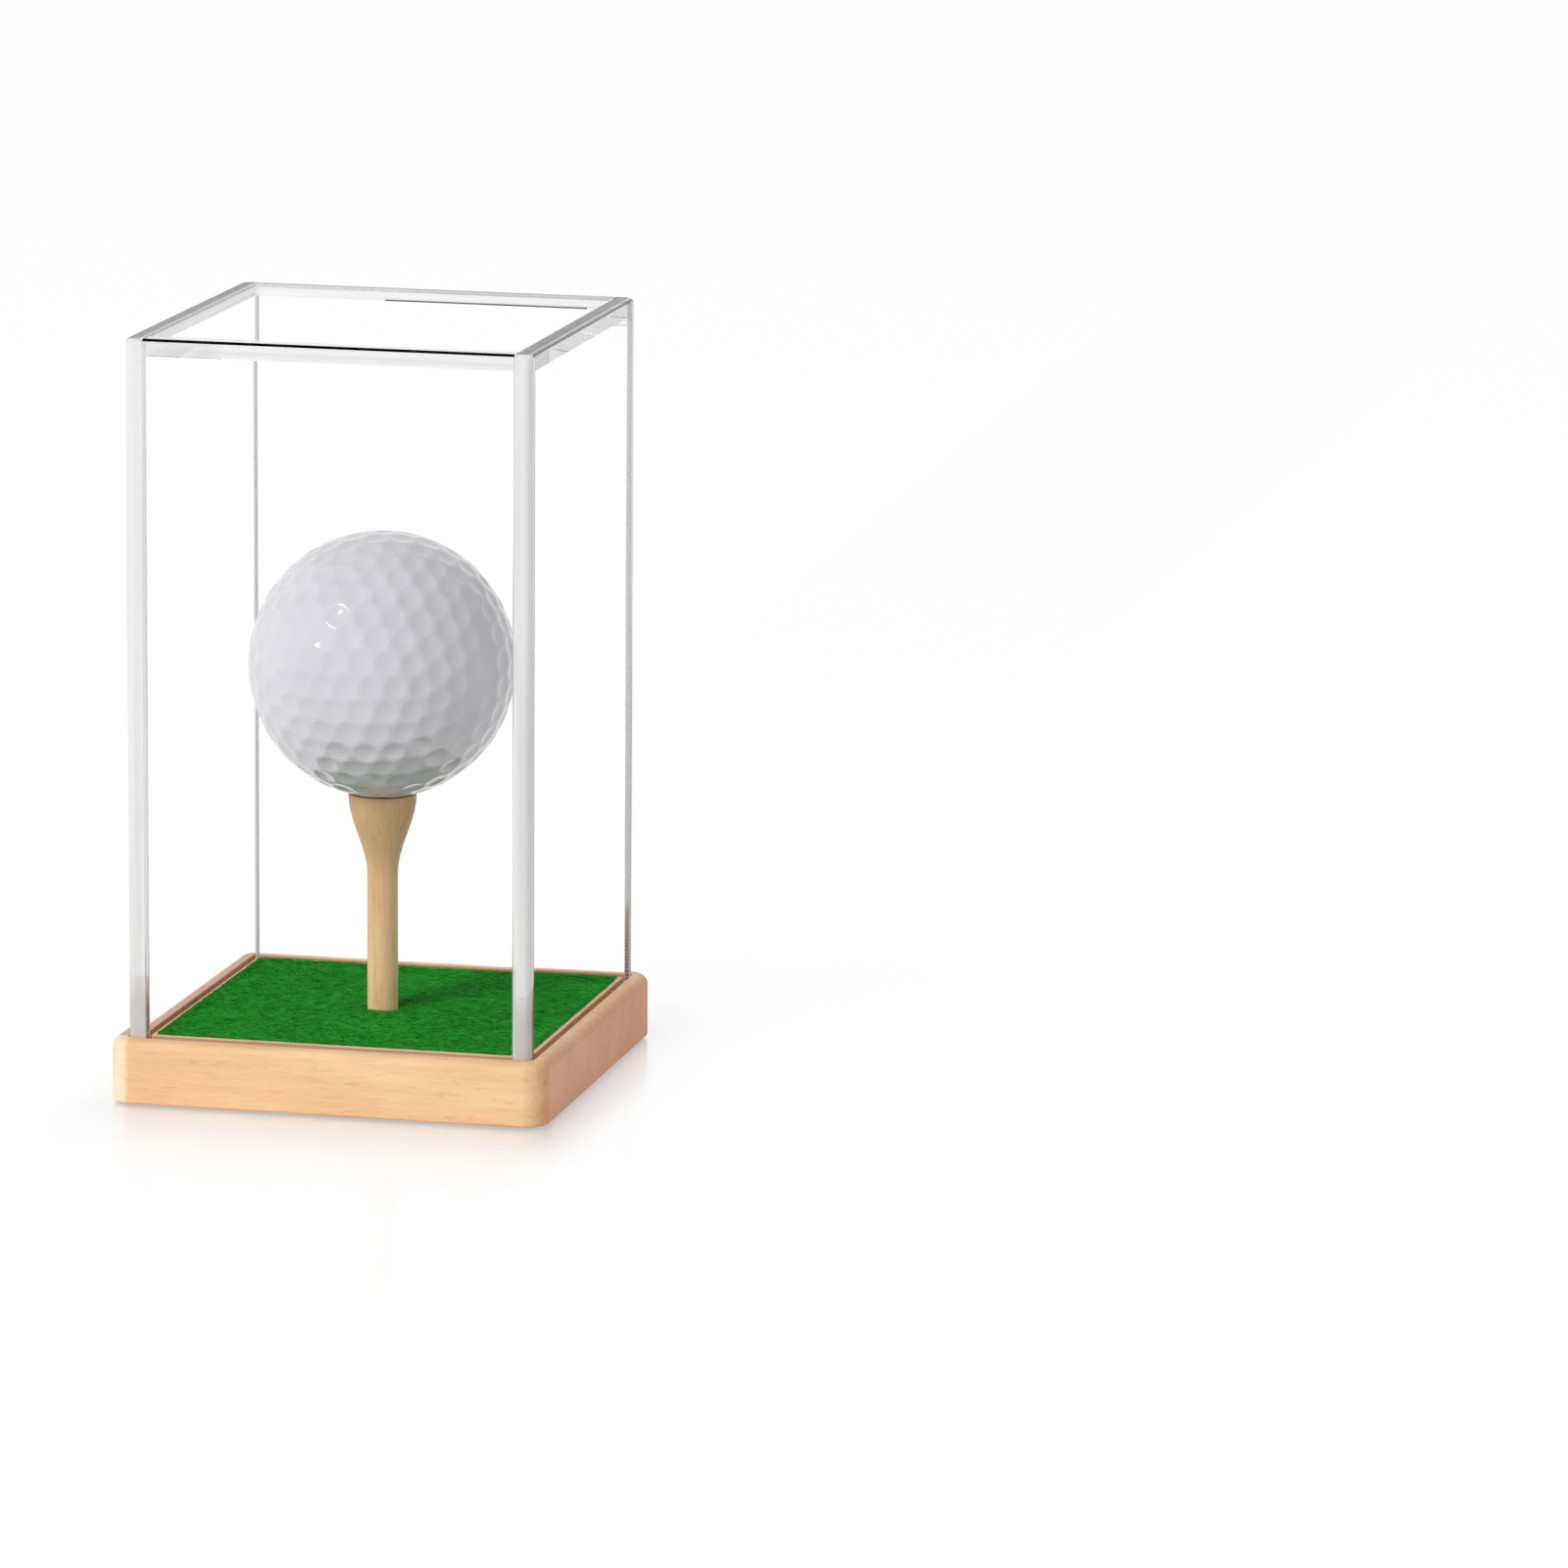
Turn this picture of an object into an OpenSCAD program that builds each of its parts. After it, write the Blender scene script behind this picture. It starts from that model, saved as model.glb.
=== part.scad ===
// Display case for one golf ball: a clear five-sheet cover over a routed wooden base,
// with the ball on a wooden tee that plugs into the base.
// +Z is up, the front looks along -Y, and the origin is under the middle of the pads.

/* [Cover] */
// Outer width and depth of the clear cover
cover_w = 65.6; // [60:0.2:90]
// Height of the clear cover, from its foot in the groove to its top
cover_h = 115; // [105:1:160]
// Thickness of the four upright sheets
wall_t = 3; // [2:0.1:4]
// Thickness of the top sheet
top_t = 3; // [2:0.1:5]
// Radius of the polished upright edges
cover_edge_r = 1.5; // [0.5:0.1:2]

/* [Base] */
// Height of the wooden base, without its pads
base_h = 10.2; // [9.5:0.1:20]
// Width of the wood left outside the groove
rim_w = 2.5; // [2:0.1:6]
// Radius of the four upright corners
base_corner_r = 4; // [3:0.5:5]
// Radius of the rounded top edge
base_top_r = 1.5; // [0.5:0.1:2]
// Radius of the rounded bottom edge
base_bottom_r = 1.2; // [0.5:0.1:2]
// Depth of the groove that the cover stands in
groove_depth = 4; // [2:0.1:5]

/* [Foot pads] */
// Diameter of a pad
pad_d = 8; // [6:0.5:12]
// Thickness of a pad
pad_t = 1; // [0.8:0.1:1.5]
// How far the pads stand out under the base
pad_stand = 0.3; // [0.2:0.1:0.6]
// Distance from the base's sides to the middle of a pad
pad_inset = 9.5; // [8:0.5:14]

/* [Turf] */
// Width of the wooden border around the turf
turf_border = 1.1; // [0.8:0.1:3]
// Depth of the pocket that the turf lies in
turf_pocket = 1.2; // [1:0.05:1.6]
// Thickness of the turf, with its backing
turf_t = 1.1; // [0.8:0.05:1.5]
// Thickness of the adhesive film under the turf
film_t = 0.15; // [0.1:0.01:0.3]

/* [Tee] */
// Diameter of the shank
shank_d = 4.9; // [4:0.1:6]
// Diameter of the head
head_d = 10.9; // [9:0.1:13]
// Height of the tee's rim over the top of the base
tee_stand = 34.8; // [28:0.2:45]
// Height of the flare between the shank and the rim
flare_h = 13.3; // [8:0.1:20]
// Width of the rim around the cup
rim_land = 0.45; // [0.2:0.05:1]
// Chamfer on the lower end of the shank
shank_chamfer = 0.4; // [0.1:0.1:1]
// Depth of the socket in the wood below the turf
socket_depth = 6.8; // [4:0.1:7]

/* [Ball] */
// Diameter of the ball
ball_d = 42.67; // [42.67:0.01:43]
// Thickness of the ball's outer layer
skin_t = 1.6; // [1:0.1:2.5]
// Dimple steps along each side of the twenty-triangle pattern
dimple_steps = 6; // [4:1:6]
// Depth of a dimple below its rim
dimple_depth = 0.2; // [0.1:0.01:0.25]
// Least land left between two dimples
dimple_land = 0.35; // [0.25:0.05:1]

/* [Fits] */
// Gap on each side of the cover's walls in the groove
groove_gap = 0.2; // [0.1:0.05:0.3]
// Gap around the turf and its film in the pocket
turf_gap = 0.1; // [0.05:0.05:0.3]
// Gap around the shank in its socket
socket_gap = 0.05; // [0.02:0.01:0.1]
// Gap around the shank where it passes the turf
turf_hole_gap = 0.15; // [0.1:0.05:0.4]
// Gap between the ball and the tee's cup
seat_gap = 0.05; // [0.02:0.01:0.1]
// Gap around a pad in its recess
pad_gap = 0.1; // [0.05:0.05:0.3]
// Gap between the ball's layers
layer_gap = 0.02; // [0.01:0.01:0.05]

/* [Hidden] */
// Facets of round pieces, of the ball, and around and along a dimple's cap
curve_fn = 96;
ball_fn = 120;
dimple_fn = 36;
cap_fn = 180;
// Steps along the tee's flare
flare_steps = 24;
// Cuts reach this far past the face they open, and a dimple's cut this far past the ball's surface
past = 1;
dimple_past = 0.1;

// Levels
base_z = pad_stand;
wood_z = base_z + base_h;
groove_z = wood_z - groove_depth;
pocket_z = wood_z - turf_pocket;
socket_z = pocket_z - socket_depth;
rim_z = wood_z + tee_stand;
cover_top_z = groove_z + cover_h;

// Widths
cover_in = cover_w - 2 * wall_t;
groove_out = cover_w + 2 * groove_gap;
plateau_w = cover_in - 2 * groove_gap;
base_w = groove_out + 2 * rim_w;
pocket_w = plateau_w - 2 * turf_border;
turf_w = pocket_w - 2 * turf_gap;
turf_hole_d = shank_d + 2 * turf_hole_gap;
socket_d = shank_d + 2 * socket_gap;
pad_place = base_w / 2 - pad_inset;

// The ball rests in the tee's cup, whose edge lies inside the rim
ball_r = ball_d / 2;
cup_r = head_d / 2 - rim_land;
seat_r = ball_r + seat_gap;
ball_z = rim_z + sqrt(seat_r * seat_r - cup_r * cup_r);

// Dimple directions: the corners, edges and faces of an icosahedron, divided evenly by angle
golden = (1 + sqrt(5)) / 2;
corner_len = norm([1, golden]);
corners = [for (a = [-1, 1], b = [-golden, golden], k = [0:2])
    let (v = [0, a, b] / corner_len) [v[k], v[(k + 1) % 3], v[(k + 2) % 3]]];
side_len = 2 / corner_len;
side_angle = 2 * asin(side_len / 2);
function joined(i, j) = abs(norm(corners[i] - corners[j]) - side_len) < 0.01;
sides = [for (i = [0:10], j = [i + 1:11]) if (joined(i, j)) [i, j]];
faces = [for (s = sides, k = [0:11]) if (k > s[1] && joined(s[0], k) && joined(s[1], k)) [s[0], s[1], k]];
function unit(v) = v / norm(v);
function share(steps) = sin(steps * side_angle / dimple_steps);
side_dimples = [for (s = sides, i = [1:dimple_steps - 1])
    unit(corners[s[0]] * share(i) + corners[s[1]] * share(dimple_steps - i))];
face_dimples = [for (f = faces, i = [1:dimple_steps - 2], j = [1:dimple_steps - 1 - i])
    unit(corners[f[0]] * share(i) + corners[f[1]] * share(j) + corners[f[2]] * share(dimple_steps - i - j))];
dimples = concat(corners, side_dimples, face_dimples);
function nearest(p) = ball_r * min([for (q = dimples) let (d = norm(p - q)) d > 0.001 ? d : 2]);

// A square post of material standing on level z, centred on the axis
module block(width, z, height) {
    translate([-width / 2, -width / 2, z]) cube([width, width, height]);
}

// A square post with rounded upright edges
module rounded_block(width, z, height, r) {
    flat = width - 2 * r;
    translate([-width / 2, -flat / 2, z]) cube([width, flat, height]);
    translate([-flat / 2, -width / 2, z]) cube([flat, width, height]);
    for (x = [-1, 1], y = [-1, 1])
        translate([x * flat / 2, y * flat / 2, z]) cylinder(r = r, h = height, $fn = curve_fn);
}

// The base's section from a corner's axis outwards, rounded at the top and the bottom
module edge_section(reach) {
    difference() {
        square([reach, base_h]);
        translate([reach - base_top_r, base_h - base_top_r]) edge_cut(base_top_r);
        translate([reach - base_bottom_r, base_bottom_r]) mirror([0, 1]) edge_cut(base_bottom_r);
    }
}

module edge_cut(r) {
    difference() {
        square([r + past, r + past]);
        circle(r = r, $fn = curve_fn);
    }
}

// The whole block before it is routed: four turned corners with straight stretches between them
module blank() {
    span = base_w - 2 * base_corner_r;
    translate([0, 0, base_z]) {
        for (turn = [0:90:270]) rotate([0, 0, turn]) {
            translate([span / 2, span / 2, 0])
                rotate_extrude(angle = 90, $fn = curve_fn) edge_section(base_corner_r);
            translate([span / 2, span / 2, 0]) rotate([90, 0, 0])
                linear_extrude(span) edge_section(base_corner_r);
        }
        translate([-span / 2, -span / 2, 0]) cube([span, span, base_h]);
    }
}

module base_block() color([0.9, 0.72, 0.52])
    difference() {
        blank();
        difference() {
            rounded_block(groove_out, groove_z, groove_depth + past, cover_edge_r + groove_gap);
            block(plateau_w, groove_z - past, groove_depth + 3 * past);
        }
        block(pocket_w, pocket_z, turf_pocket + past);
        translate([0, 0, socket_z]) cylinder(d = socket_d, h = socket_depth + past, $fn = curve_fn);
        for (x = [-1, 1], y = [-1, 1])
            translate([x * pad_place, y * pad_place, -past])
                cylinder(d = pad_d + 2 * pad_gap, h = pad_t + past, $fn = curve_fn);
    }

module foot_pad(x, y) color([0.12, 0.12, 0.13])
    translate([x * pad_place, y * pad_place, 0]) cylinder(d = pad_d, h = pad_t, $fn = curve_fn);

// A square layer in the turf's pocket with the tee's hole through it
module pocket_layer(z, thickness) {
    difference() {
        block(turf_w, z, thickness);
        translate([0, 0, z - past]) cylinder(d = turf_hole_d, h = thickness + 2 * past, $fn = curve_fn);
    }
}

module turf_film() color([0.85, 0.83, 0.75]) pocket_layer(pocket_z, film_t);

module turf_mat() color([0.1, 0.5, 0.15]) pocket_layer(pocket_z + film_t, turf_t);

// Radius of the tee at a share of the flare's height: a smooth swell from the shank to the head
function flare_r(t) = shank_d / 2 + (head_d - shank_d) / 2 * (1 - cos(180 * t)) / 2;

module tee() color([0.8, 0.65, 0.42])
    difference() {
        rotate_extrude($fn = curve_fn)
            polygon(concat(
                [[0, socket_z], [shank_d / 2 - shank_chamfer, socket_z], [shank_d / 2, socket_z + shank_chamfer]],
                [for (i = [0:flare_steps]) let (t = i / flare_steps) [flare_r(t), rim_z - flare_h * (1 - t)]],
                [[0, rim_z]]));
        translate([0, 0, ball_z]) sphere(r = seat_r, $fn = 2 * curve_fn);
    }

// The tool for one dimple, on the axis: a shallow round cap, open past the ball's surface
module dimple_cutter(width) {
    r = width / 2;
    level = sqrt(ball_r * ball_r - r * r);
    curve_r = (r * r + dimple_depth * dimple_depth) / (2 * dimple_depth);
    low = level - 2 * dimple_depth;
    rotate_extrude($fn = dimple_fn)
        intersection() {
            translate([0, level - dimple_depth + curve_r]) circle(r = curve_r, $fn = cap_fn);
            translate([0, low]) square([r + dimple_past, ball_r + dimple_past - low]);
        }
}

module ball_skin() color([0.93, 0.93, 0.94])
    translate([0, 0, ball_z]) difference() {
        sphere(r = ball_r, $fn = ball_fn);
        sphere(r = ball_r - skin_t, $fn = ball_fn);
        for (p = dimples)
            rotate([0, acos(p[2]), atan2(p[1], p[0])]) dimple_cutter(nearest(p) - dimple_land);
    }

module ball_core() color([0.75, 0.35, 0.3])
    translate([0, 0, ball_z]) sphere(r = ball_r - skin_t - layer_gap, $fn = ball_fn);

// A full-depth side sheet with its two outer upright edges rounded, on the right
module side_panel() {
    intersection() {
        rounded_block(cover_w, groove_z, cover_h, cover_edge_r);
        translate([cover_in / 2, -cover_w, groove_z - past]) cube([cover_w, 2 * cover_w, cover_h + 2 * past]);
    }
}

module right_panel() color([0.85, 0.88, 0.9, 0.35]) side_panel();

module left_panel() color([0.85, 0.88, 0.9, 0.35]) mirror([1, 0, 0]) side_panel();

// A sheet between the side sheets, at the back
module cross_panel() {
    translate([-cover_in / 2, cover_in / 2, groove_z]) cube([cover_in, wall_t, cover_h]);
}

module back_panel() color([0.85, 0.88, 0.9, 0.35]) cross_panel();

module front_panel() color([0.85, 0.88, 0.9, 0.35]) mirror([0, 1, 0]) cross_panel();

module top_panel() color([0.9, 0.92, 0.94, 0.35]) block(cover_in, cover_top_z - top_t, top_t);

base_block();
turf_film();
turf_mat();
foot_pad(-1, -1);  // foot_pad_front_left
foot_pad(1, -1);  // foot_pad_front_right
foot_pad(-1, 1);  // foot_pad_back_left
foot_pad(1, 1);  // foot_pad_back_right
tee();
ball_skin();
ball_core();
left_panel();
right_panel();
front_panel();
back_panel();
top_panel();
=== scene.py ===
import math

import bmesh
import bpy
import numpy as np
from mathutils import Matrix, Vector


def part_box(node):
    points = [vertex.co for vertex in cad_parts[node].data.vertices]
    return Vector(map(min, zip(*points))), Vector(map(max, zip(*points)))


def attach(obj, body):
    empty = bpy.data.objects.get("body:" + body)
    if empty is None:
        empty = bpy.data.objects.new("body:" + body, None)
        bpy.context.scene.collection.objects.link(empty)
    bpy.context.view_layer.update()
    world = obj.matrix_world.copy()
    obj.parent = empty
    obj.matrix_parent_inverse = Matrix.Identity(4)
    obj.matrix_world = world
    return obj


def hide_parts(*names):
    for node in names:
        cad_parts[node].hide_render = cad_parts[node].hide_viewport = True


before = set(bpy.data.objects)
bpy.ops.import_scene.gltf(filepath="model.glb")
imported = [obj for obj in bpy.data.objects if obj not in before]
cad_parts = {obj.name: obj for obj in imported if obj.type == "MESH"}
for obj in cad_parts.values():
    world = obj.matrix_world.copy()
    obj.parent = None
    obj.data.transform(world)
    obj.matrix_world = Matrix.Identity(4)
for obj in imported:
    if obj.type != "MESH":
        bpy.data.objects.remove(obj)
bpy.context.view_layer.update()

MM = 0.001
# Steps of a rounded corner in plan, and of a rounded edge
CORNER_STEPS = 12
EDGE_STEPS = 6


# Sizes, in metres, from the frame

base_low, base_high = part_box("base_block")
base_half = base_high[0]
base_top = base_high[2]
side_low, side_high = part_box("right_panel")
lid_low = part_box("top_panel")[0]
film_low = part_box("turf_film")[0]
turf_low, turf_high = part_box("turf_mat")
tee_low, tee_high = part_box("tee")
ball_low, ball_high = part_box("ball_skin")

cover_half = side_high[0]
cover_inner = side_low[0]
groove_floor = side_low[2]
pocket_floor = film_low[2]
socket_floor = tee_low[2]
ball_centre = Vector((0, 0, (ball_low[2] + ball_high[2]) / 2))
ball_r = (ball_high[0] - ball_low[0]) / 2
tee_head_r = tee_high[0]

# Sizes that the boxes don't give, as the solids have them
BASE_CORNER = 4 * MM
BASE_TOP_ROUND = 1.5 * MM
GROOVE_GAP = 0.2 * MM
TURF_GAP = 0.1 * MM
COVER_EDGE = 1.5 * MM
SHANK_R = 2.45 * MM
SOCKET_R = 2.5 * MM
FLARE_H = 13.3 * MM
RIM_LAND = 0.45 * MM
SEAT_GAP = 0.05 * MM
PAD_GAP = 0.1 * MM
DIMPLE_STEPS = 6
DIMPLE_DEPTH = 0.2 * MM
DIMPLE_LAND = 0.35 * MM
# The base's lower edge is less rounded here than in the solids
BASE_LOW_ROUND = 0.5 * MM
# Small breaks on edges that the solids leave sharp
WOOD_BREAK = 0.12 * MM
SHEET_BREAK = 0.12 * MM


# Mesh helpers

# Points closer than this are one, and edges that bend more than this stay sharp
SAME_POINT = 0.0001 * MM
SHARP_FROM = math.radians(50)


def ring(low, high, radii, z):
    """A rounded rectangle at height z, with the same number of points at any size.

    radii: right back, left back, left front, right front."""
    points = []
    for corner, (sx, sy) in enumerate(((1, 1), (-1, 1), (-1, -1), (1, -1))):
        r = radii[corner]
        cx = (high[0] - r) if sx > 0 else (low[0] + r)
        cy = (high[1] - r) if sy > 0 else (low[1] + r)
        for step in range(CORNER_STEPS + 1):
            angle = math.radians(90 * (corner + step / CORNER_STEPS))
            points.append((cx + r * math.cos(angle), cy + r * math.sin(angle), z))
    return points


def square(half, r, z):
    """A rounded square about the middle."""
    return ring((-half, -half), (half, half), (r,) * 4, z)


def circle(r, z):
    return square(r, r, z)


def bend(half, corner_r, z, radius, start, stop):
    """Rings round an edge of a square form, by angles in degrees: 0 is outward and 90 is up.

    half, corner_r and z are those of the arc's middle."""
    rings = []
    for step in range(EDGE_STEPS + 1):
        angle = math.radians(start + (stop - start) * step / EDGE_STEPS)
        out = radius * math.cos(angle)
        rings.append(square(half + out, corner_r + out, z + radius * math.sin(angle)))
    return rings


def loft(name, rings, joined=False):
    """A closed skin over the rings, capped at both ends, or joined end to end round a hole."""
    bm = bmesh.new()
    loops = [[bm.verts.new(p) for p in r] for r in rings]
    pairs = list(zip(loops, loops[1:]))
    if joined:
        pairs.append((loops[-1], loops[0]))
    else:
        bm.faces.new(list(reversed(loops[0])))
        bm.faces.new(loops[-1])
    for one, two in pairs:
        for i in range(len(one)):
            j = (i + 1) % len(one)
            bm.faces.new((one[i], one[j], two[j], two[i]))
    bmesh.ops.remove_doubles(bm, verts=bm.verts, dist=SAME_POINT)
    bmesh.ops.recalc_face_normals(bm, faces=bm.faces)
    mesh = bpy.data.meshes.new(name)
    bm.to_mesh(mesh)
    bm.free()
    mesh.shade_smooth()
    return mesh


def piece(name, mesh, body, materials, nodes=(), weighted=True):
    """Puts a mesh in the scene as a piece that rides a body and stands for CAD nodes."""
    obj = bpy.data.objects.new(name, mesh)
    bpy.context.scene.collection.objects.link(obj)
    for material in materials:
        mesh.materials.append(material)
    if weighted:
        flat = obj.modifiers.new("flat_faces", "WEIGHTED_NORMAL")
        flat.weight = 100
    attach(obj, body)
    if nodes:
        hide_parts(*nodes)
    return obj


def finish_node(name, material):
    """Gives a CAD node that stays its own material."""
    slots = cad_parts[name].data.materials
    slots.clear()
    slots.append(material)


# Material helpers

ACRYLIC_IOR = 1.49
ACRYLIC_HAZE = 0.005
# The darkest and palest tone of a sawn end, and how much its saw marks vary its share. The grey tones
# paint shade onto a sawn end
SAWN_WHITE = (0.74, 0.90)
SAWN_PAINTED_GREY = (0.44, 0.53)
SAW_SPREAD = 0.2
# Noise in features per metre, the same every way, or along and across the saw marks and the turf's strokes
HAZE_CLOUD = 90
SOFT_CLOUD = 200
PAINT_CLOUD = 120
PAINT_GRAIN = 2400
RUBBER_GRAIN = 1500
SAW_MARKS = (15, 1500)
TURF_STROKES = (500, 2600)
TURF_PATCHES = (60, 150)
WOOD_BANDS = (9, 110)
WOOD_CLOUDS = (35, 90)
WOOD_STREAKS = (70, 800)
WOOD_FLECKS = (190, 1100)
WOOD_PORES = (300, 3500)
# Depths of the fine relief
WOOD_RELIEF = 0.015 * MM
RUBBER_RELIEF = 0.05 * MM
PAINT_RELIEF = 0.003 * MM
FIBRE_RELIEF = 0.05 * MM
# Specular level of dull surfaces
DULL = 0.2
WHITE = (1, 1, 1)


def new_material(name):
    material = bpy.data.materials.new(name)
    material.use_nodes = True
    nodes = material.node_tree.nodes
    return material, nodes, material.node_tree.links, nodes["Principled BSDF"]


def bare_material(name):
    """A material with nothing but its output node."""
    material, nodes, links, shader = new_material(name)
    nodes.remove(shader)
    return material, nodes, links


def noise(nodes, links, scale, detail=4.0, roughness=0.5, distortion=0.0):
    """Noise in the object's own space, with a scale per axis, in features per metre."""
    coords = nodes.new("ShaderNodeTexCoord")
    mapping = nodes.new("ShaderNodeMapping")
    mapping.inputs["Scale"].default_value = scale
    texture = nodes.new("ShaderNodeTexNoise")
    texture.inputs["Scale"].default_value = 1.0
    texture.inputs["Detail"].default_value = detail
    texture.inputs["Roughness"].default_value = roughness
    texture.inputs["Distortion"].default_value = distortion
    links.new(coords.outputs["Object"], mapping.inputs["Vector"])
    links.new(mapping.outputs["Vector"], texture.inputs["Vector"])
    return texture.outputs["Fac"]


def ramp(nodes, links, value, stops):
    """A colour ramp. stops: (place, (r, g, b)), ..."""
    node = nodes.new("ShaderNodeValToRGB")
    marks = node.color_ramp.elements
    while len(marks) < len(stops):
        marks.new(0.5)
    for mark, (place, colour) in zip(marks, stops):
        mark.position = place
        mark.color = (*colour, 1)
    links.new(value, node.inputs["Fac"])
    return node.outputs["Color"]


def mix(nodes, links, kind, factor, one, two):
    node = nodes.new("ShaderNodeMix")
    node.data_type = "RGBA"
    node.blend_type = kind
    node.inputs["Factor"].default_value = factor
    links.new(one, node.inputs["A"])
    links.new(two, node.inputs["B"])
    return node.outputs["Result"]


def bump(nodes, links, shader, height, depth, strength=1.0):
    node = nodes.new("ShaderNodeBump")
    node.inputs["Distance"].default_value = depth
    node.inputs["Strength"].default_value = strength
    links.new(height, node.inputs["Height"])
    links.new(node.outputs["Normal"], shader.inputs["Normal"])


def value_range(nodes, links, value, low, high, start=0.0, stop=1.0):
    """low where the value is start, high where it is stop, and between them in between."""
    node = nodes.new("ShaderNodeMapRange")
    node.inputs["From Min"].default_value = start
    node.inputs["From Max"].default_value = stop
    node.inputs["To Min"].default_value = low
    node.inputs["To Max"].default_value = high
    links.new(value, node.inputs["Value"])
    return node.outputs["Result"]


def maths(nodes, links, operation, *values):
    node = nodes.new("ShaderNodeMath")
    node.operation = operation
    for value, socket in zip(values, node.inputs):
        links.new(value, socket)
    return node.outputs[0]


def place_in_object(nodes, links):
    """The object's own X, Y and Z, as three outputs."""
    coords = nodes.new("ShaderNodeTexCoord")
    split = nodes.new("ShaderNodeSeparateXYZ")
    links.new(coords.outputs["Object"], split.inputs["Vector"])
    return split.outputs


def stretched(axis, along, across):
    """A scale per axis for noise that is drawn out along one."""
    scale = [across] * 3
    scale[axis] = along
    return scale


def wood(name, along, tones, tints, rough):
    """Straight-grained wood along one axis, with a tint by the place along it, which paints highlight and
    shade where it is used.
    """
    material, nodes, links, shader = new_material(name)
    bands = noise(nodes, links, stretched(along, *WOOD_BANDS), detail=3, distortion=0.8)
    clouds = noise(nodes, links, stretched(along, *WOOD_CLOUDS), detail=4, distortion=0.6)
    streaks = noise(
        nodes, links, stretched(along, *WOOD_STREAKS), detail=5, roughness=0.6, distortion=0.3)
    flecks = noise(nodes, links, stretched(along, *WOOD_FLECKS), detail=3, distortion=0.5)
    pores = noise(nodes, links, stretched(along, *WOOD_PORES), detail=2)
    colour = ramp(nodes, links, bands, tones)
    cloudy = ramp(nodes, links, clouds, ((0.35, (0.97, 0.92, 0.87)), (0.65, (1.02, 1.04, 1.06))))
    flecked = ramp(nodes, links, flecks, ((0.3, (0.94, 0.87, 0.82)), (0.42, WHITE)))
    grain = ramp(nodes, links, streaks, ((0.3, (0.93, 0.90, 0.87)), (0.7, (1.04, 1.04, 1.04))))
    fine = ramp(nodes, links, pores, ((0.3, (0.94, 0.92, 0.90)), (0.5, WHITE)))
    tint = tint_along(nodes, links, along, tints)
    for layer in (cloudy, flecked, grain, fine, tint):
        colour = mix(nodes, links, "MULTIPLY", 1, colour, layer)
    links.new(colour, shader.inputs["Base Color"])
    links.new(value_range(nodes, links, streaks, rough - 0.06, rough + 0.08), shader.inputs["Roughness"])
    shader.inputs["Specular IOR Level"].default_value = DULL
    bump(nodes, links, shader, streaks, WOOD_RELIEF, strength=0.5)
    return material


def tint_along(nodes, links, axis, tints):
    """A colour by the place along an axis. tints: (metres, (r, g, b)), ..."""
    first, last = tints[0][0], tints[-1][0]
    place = value_range(nodes, links, place_in_object(nodes, links)[axis], 0, 1, first, last)
    stops = [((at - first) / (last - first), colour) for at, colour in tints]
    return ramp(nodes, links, place, stops)


def clear_sheet(name, tint, hush, frost=0.0, along=None, sawn=SAWN_WHITE):
    """Clear acrylic, which lets the light of the lamps and the room straight through.

    hush keeps down the plain mirroring of its surface, and leaves the total reflection inside it.
    frost is the share of sawn surface, in streaks along an axis."""
    material, nodes, links = bare_material(name)
    cloud = noise(nodes, links, (HAZE_CLOUD,) * 3, detail=2)
    haze = value_range(nodes, links, cloud, 0, ACRYLIC_HAZE)
    bent = nodes.new("ShaderNodeBsdfRefraction")
    mirrored = nodes.new("ShaderNodeBsdfGlossy")
    share = nodes.new("ShaderNodeFresnel")
    power = nodes.new("ShaderNodeMath")
    both = nodes.new("ShaderNodeMixShader")
    bent.inputs["Color"].default_value = (*tint, 1)
    bent.inputs["IOR"].default_value = ACRYLIC_IOR
    mirrored.inputs["Color"].default_value = (*WHITE, 1)
    share.inputs["IOR"].default_value = ACRYLIC_IOR
    power.operation = "POWER"
    power.inputs[1].default_value = hush
    links.new(haze, bent.inputs["Roughness"])
    links.new(haze, mirrored.inputs["Roughness"])
    links.new(share.outputs["Fac"], power.inputs[0])
    links.new(power.outputs[0], both.inputs["Fac"])
    links.new(bent.outputs["BSDF"], both.inputs[1])
    links.new(mirrored.outputs["BSDF"], both.inputs[2])
    shown = both.outputs["Shader"]
    if frost:
        shown = frosted(nodes, links, shown, frost, along, sawn)
    through = nodes.new("ShaderNodeBsdfTransparent")
    shown = let_light_through(nodes, links, shown, through.outputs["BSDF"])
    links.new(shown, nodes["Material Output"].inputs["Surface"])
    return material


def let_light_through(nodes, links, shown, through):
    """shown for the rays that make the picture, through for those that light other surfaces."""
    path = nodes.new("ShaderNodeLightPath")
    for kind in ("Is Shadow Ray", "Is Diffuse Ray"):
        shown = mix_shaders(nodes, links, path.outputs[kind], shown, through)
    return shown


def bonded_seam(name, frost=0.0, along=None):
    """Where two sheets are bonded nothing bends light. A sawn end in the seam shows as a pale band."""
    material, nodes, links = bare_material(name)
    through = nodes.new("ShaderNodeBsdfTransparent")
    cloud = noise(nodes, links, (SOFT_CLOUD,) * 3)
    clear = ramp(nodes, links, cloud, ((0.3, (0.99, 0.99, 0.99)), (0.7, WHITE)))
    links.new(clear, through.inputs["Color"])
    shown = through.outputs["BSDF"]
    if frost:
        shown = frosted(nodes, links, shown, frost, along, SAWN_WHITE)
        shown = let_light_through(nodes, links, shown, through.outputs["BSDF"])
    links.new(shown, nodes["Material Output"].inputs["Surface"])
    return material


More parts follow.
